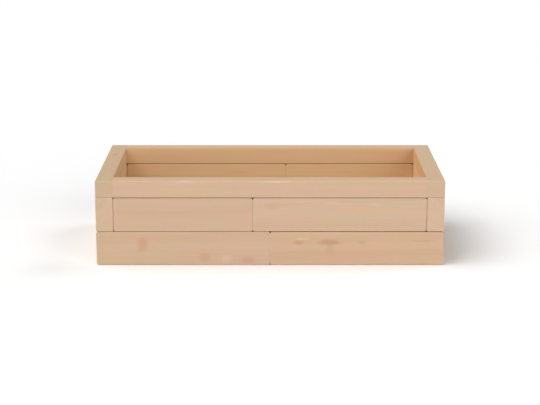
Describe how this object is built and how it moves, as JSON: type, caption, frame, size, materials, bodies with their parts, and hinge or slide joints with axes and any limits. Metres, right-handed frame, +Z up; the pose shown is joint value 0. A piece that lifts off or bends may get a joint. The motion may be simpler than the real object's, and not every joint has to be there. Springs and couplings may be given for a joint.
{
  "type": "raised garden bed",
  "caption": "Low rectangular raised bed of planed softwood timbers in staggered, dowelled courses, open at top and bottom, for holding soil on the ground.",
  "frame": {"origin": "middle of the footprint, on the ground", "axes": "+X along the bed, +Y from the front wall to the back wall, +Z up"},
  "size_m": [1, 0.5, 0.25],
  "materials": {
    "planed_pine": "planed, untreated",
    "beech_dowel": "turned and fluted, untreated"
  },
  "bodies": {
    "root": {"base_front_left": "planed_pine", "base_front_right": "planed_pine", "base_back_left": "planed_pine", "base_back_right": "planed_pine", "base_end_left": "planed_pine", "base_end_right": "planed_pine", "middle_front_left": "planed_pine", "middle_front_right": "planed_pine", "middle_back_left": "planed_pine", "middle_back_right": "planed_pine", "middle_end_left": "planed_pine", "middle_end_right": "planed_pine", "cap_front": "planed_pine", "cap_back": "planed_pine", "cap_left": "planed_pine", "cap_right": "planed_pine", "lower_dowel_front_1": "beech_dowel", "lower_dowel_front_2": "beech_dowel", "lower_dowel_front_3": "beech_dowel", "lower_dowel_front_4": "beech_dowel", "lower_dowel_front_5": "beech_dowel", "lower_dowel_front_6": "beech_dowel", "lower_dowel_front_7": "beech_dowel", "lower_dowel_back_1": "beech_dowel", "lower_dowel_back_2": "beech_dowel", "lower_dowel_back_3": "beech_dowel", "lower_dowel_back_4": "beech_dowel", "lower_dowel_back_5": "beech_dowel", "lower_dowel_back_6": "beech_dowel", "lower_dowel_back_7": "beech_dowel", "lower_dowel_left_1": "beech_dowel", "lower_dowel_left_2": "beech_dowel", "lower_dowel_right_1": "beech_dowel", "lower_dowel_right_2": "beech_dowel", "upper_dowel_front_1": "beech_dowel", "upper_dowel_front_2": "beech_dowel", "upper_dowel_front_3": "beech_dowel", "upper_dowel_front_4": "beech_dowel", "upper_dowel_back_1": "beech_dowel", "upper_dowel_back_2": "beech_dowel", "upper_dowel_back_3": "beech_dowel", "upper_dowel_back_4": "beech_dowel", "upper_dowel_left_1": "beech_dowel", "upper_dowel_left_2": "beech_dowel", "upper_dowel_right_1": "beech_dowel", "upper_dowel_right_2": "beech_dowel"}
  },
  "joints": []
}
